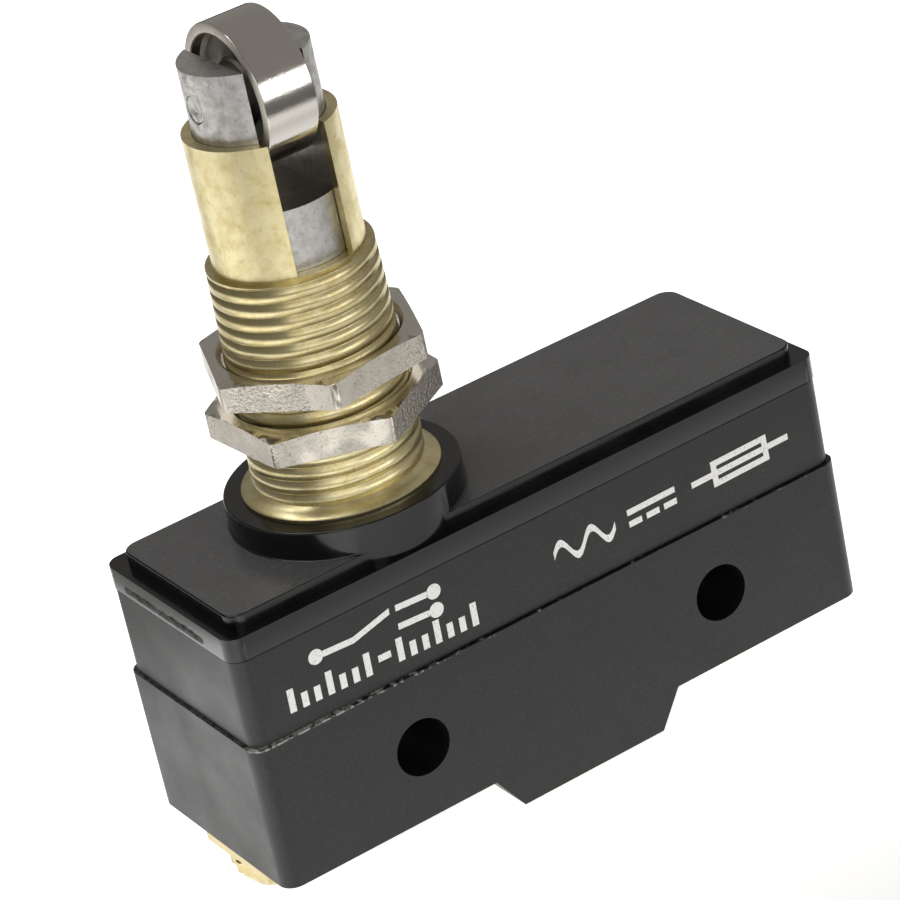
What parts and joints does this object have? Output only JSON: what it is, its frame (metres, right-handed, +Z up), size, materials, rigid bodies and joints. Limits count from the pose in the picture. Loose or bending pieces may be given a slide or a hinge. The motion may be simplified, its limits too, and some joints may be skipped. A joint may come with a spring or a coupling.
{
  "type": "limit switch",
  "caption": "Panel mounting limit switch: a cross roller on a sliding plunger in a threaded brass sleeve, over a snap action switch in a black three-part case with screw terminals.",
  "frame": {"origin": "midway between the axes of the two mounting holes, at the middle of the case's width", "axes": "+X along the case towards the normally closed terminal, +Y across the case along the mounting holes, +Z up the sleeve towards the roller"},
  "size_m": [0.0492, 0.0174, 0.0621],
  "materials": {
    "base_plastic": "satin black phenolic moulding",
    "cap_plastic": "glossy black phenolic moulding",
    "sleeve_brass": "turned, pale",
    "nut_plate": "nickel plated, worn",
    "plunger_steel": "sintered, mottled",
    "roller_steel": "ground and polished",
    "spring_steel": "drawn wire",
    "pin_plastic": "moulded red",
    "blade_copper": "rolled copper alloy strip",
    "terminal_brass": "stamped strip",
    "screw_brass": "machined",
    "contact_silver": "silver alloy rivet"
  },
  "bodies": {
    "case": {"base_case": "base_plastic", "middle_housing": "base_plastic", "top_cap": "cap_plastic", "case_rivets": "terminal_brass", "threaded_sleeve": "sleeve_brass", "return_spring": "spring_steel", "blade_anchor": "terminal_brass", "blade_post": "terminal_brass", "blade_rivet": "terminal_brass", "nc_contact": "contact_silver", "no_contact": "contact_silver", "com_terminal": "terminal_brass", "nc_terminal": "terminal_brass", "no_terminal": "terminal_brass"},
    "plunger": {"roller_plunger": "plunger_steel", "roller_pin": "plunger_steel"},
    "roller": {"roller": "roller_steel"},
    "pin": {"pin_plunger": "pin_plastic", "spring_seat": "terminal_brass", "overtravel_spring": "spring_steel"},
    "blade": {"snap_blade": "blade_copper", "moving_contact": "contact_silver"},
    "upper_nut": {"lock_nut_upper": "nut_plate"},
    "lower_nut": {"lock_nut_lower": "nut_plate"},
    "com_clamp": {"com_screw": "screw_brass", "com_washer": "screw_brass"},
    "nc_clamp": {"nc_screw": "screw_brass", "nc_washer": "screw_brass"},
    "no_clamp": {"no_screw": "screw_brass", "no_washer": "screw_brass"}
  },
  "joints": [
    {"name": "plunger_slide", "type": "slide", "parent": "case", "child": "plunger", "axis": [0, 0, -1], "range_m": [0, 0.004], "stiffness_N_per_m": 400, "springref_m": -0.003, "deforming": ["return_spring", "overtravel_spring"]},
    {"name": "roller_spin", "type": "hinge", "parent": "plunger", "child": "roller", "pos_m": [-0.00975, 0, 0.0455], "axis": [1, 0, 0], "continuous": true},
    {"name": "pin_slide", "type": "slide", "parent": "case", "child": "pin", "axis": [0, 0, -1], "range_m": [0, 0.0004]},
    {"name": "blade_flex", "type": "hinge", "parent": "case", "child": "blade", "pos_m": [-0.0178, 0, 0.0064], "axis": [0, 1, 0], "range_deg": [0, 0.92]},
    {"name": "upper_nut_slide", "type": "slide", "parent": "case", "child": "upper_nut", "axis": [0, 0, 1], "range_m": [0, 0.0063]},
    {"name": "lower_nut_slide", "type": "slide", "parent": "case", "child": "lower_nut", "axis": [0, 0, 1], "range_m": [-0.0039, 0.0016]},
    {"name": "com_screw_travel", "type": "slide", "parent": "case", "child": "com_clamp", "axis": [0, 0, -1], "range_m": [0, 0.003]},
    {"name": "nc_screw_travel", "type": "slide", "parent": "case", "child": "nc_clamp", "axis": [0, 0, -1], "range_m": [0, 0.003]},
    {"name": "no_screw_travel", "type": "slide", "parent": "case", "child": "no_clamp", "axis": [0, 0, -1], "range_m": [0, 0.003]}
  ],
  "couplings": [
    {"joint": "pin_slide", "follows": "plunger_slide", "ratio": 0.1},
    {"joint": "blade_flex", "follows": "plunger_slide", "rad_per_m": 3.98}
  ]
}
